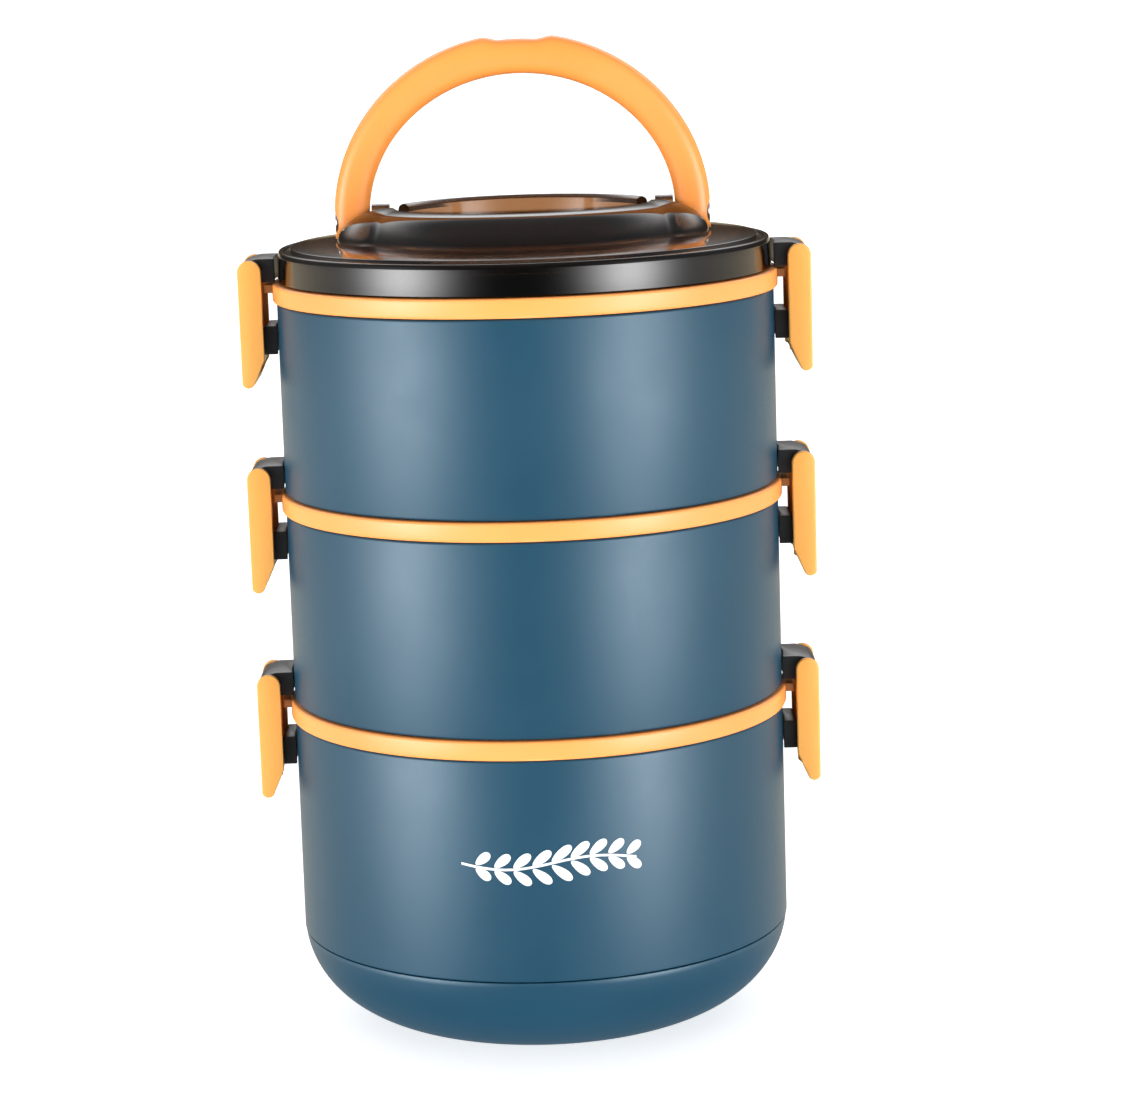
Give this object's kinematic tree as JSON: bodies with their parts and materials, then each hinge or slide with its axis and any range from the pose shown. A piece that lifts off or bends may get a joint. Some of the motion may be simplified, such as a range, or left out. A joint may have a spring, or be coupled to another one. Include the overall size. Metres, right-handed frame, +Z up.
{
  "type": "tiffin carrier",
  "caption": "Stacked round tiffin carrier with steel bowls, rounded base, smoked lid, folding carry handle and side latches.",
  "frame": {"origin": "centre of the foot, on the surface the carrier stands on", "axes": "+Z up through the stack; the latches are at -X and +X; the lid's raised crest and its ears face -Y; the handle folds towards +Y"},
  "size_m": [0.169, 0.15, 0.2941],
  "materials": {
    "shell_teal": "satin moulded plastic, dark teal blue",
    "trim_orange": "soft-gloss moulded plastic, warm orange",
    "lid_smoke": "high-gloss smoke-dark plastic",
    "clip_black": "fine satin black plastic",
    "bowl_steel": "spun stainless steel",
    "pin_steel": "drawn steel wire",
    "seal_silicone": "milky silicone"
  },
  "bodies": {
    "lower_tier": {"base_cap": "shell_teal", "lower_shell": "shell_teal", "lower_bowl": "bowl_steel", "lower_ring": "trim_orange", "lower_catch_left": "clip_black", "lower_catch_right": "clip_black"},
    "middle_tier": {"middle_shell": "shell_teal", "middle_bowl": "bowl_steel", "middle_ring": "trim_orange", "middle_seal": "seal_silicone", "middle_lug_left": "clip_black", "middle_lug_right": "clip_black", "middle_catch_left": "clip_black", "middle_catch_right": "clip_black"},
    "upper_tier": {"upper_shell": "shell_teal", "upper_bowl": "bowl_steel", "upper_ring": "trim_orange", "upper_seal": "seal_silicone", "upper_lug_left": "clip_black", "upper_lug_right": "clip_black", "upper_catch_left": "clip_black", "upper_catch_right": "clip_black"},
    "lid": {"lid_cover": "lid_smoke", "lid_seal": "seal_silicone", "lid_lug_left": "clip_black", "lid_lug_right": "clip_black", "handle_pin_left": "pin_steel", "handle_pin_right": "pin_steel"},
    "handle": {"handle": "trim_orange"},
    "latch_1_left": {"latch_1_left_flap": "trim_orange", "latch_1_left_pin": "pin_steel"},
    "latch_1_right": {"latch_1_right_flap": "trim_orange", "latch_1_right_pin": "pin_steel"},
    "latch_2_left": {"latch_2_left_flap": "trim_orange", "latch_2_left_pin": "pin_steel"},
    "latch_2_right": {"latch_2_right_flap": "trim_orange", "latch_2_right_pin": "pin_steel"},
    "latch_3_left": {"latch_3_left_flap": "trim_orange", "latch_3_left_pin": "pin_steel"},
    "latch_3_right": {"latch_3_right_flap": "trim_orange", "latch_3_right_pin": "pin_steel"}
  },
  "joints": [
    {"name": "middle_tier_lift", "type": "slide", "parent": "lower_tier", "child": "middle_tier", "axis": [0, 0, 1], "range_m": [0, 0.084]},
    {"name": "upper_tier_lift", "type": "slide", "parent": "middle_tier", "child": "upper_tier", "axis": [0, 0, 1], "range_m": [0, 0.084]},
    {"name": "lid_lift", "type": "slide", "parent": "upper_tier", "child": "lid", "axis": [0, 0, 1], "range_m": [0, 0.084]},
    {"name": "handle_fold", "type": "hinge", "parent": "lid", "child": "handle", "pos_m": [0, 0, 0.2413], "axis": [-1, 0, 0], "range_deg": [0, 90]},
    {"name": "latch_1_left_open", "type": "hinge", "parent": "middle_tier", "child": "latch_1_left", "pos_m": [-0.081, 0, 0.1036], "axis": [0, 1, 0], "range_deg": [0, 120]},
    {"name": "latch_1_right_open", "type": "hinge", "parent": "middle_tier", "child": "latch_1_right", "pos_m": [0.081, 0, 0.1036], "axis": [0, -1, 0], "range_deg": [0, 120]},
    {"name": "latch_2_left_open", "type": "hinge", "parent": "upper_tier", "child": "latch_2_left", "pos_m": [-0.081, 0, 0.1664], "axis": [0, 1, 0], "range_deg": [0, 120]},
    {"name": "latch_2_right_open", "type": "hinge", "parent": "upper_tier", "child": "latch_2_right", "pos_m": [0.081, 0, 0.1664], "axis": [0, -1, 0], "range_deg": [0, 120]},
    {"name": "latch_3_left_open", "type": "hinge", "parent": "lid", "child": "latch_3_left", "pos_m": [-0.081, 0, 0.2281], "axis": [0, 1, 0], "range_deg": [0, 120]},
    {"name": "latch_3_right_open", "type": "hinge", "parent": "lid", "child": "latch_3_right", "pos_m": [0.081, 0, 0.2281], "axis": [0, -1, 0], "range_deg": [0, 120]}
  ]
}
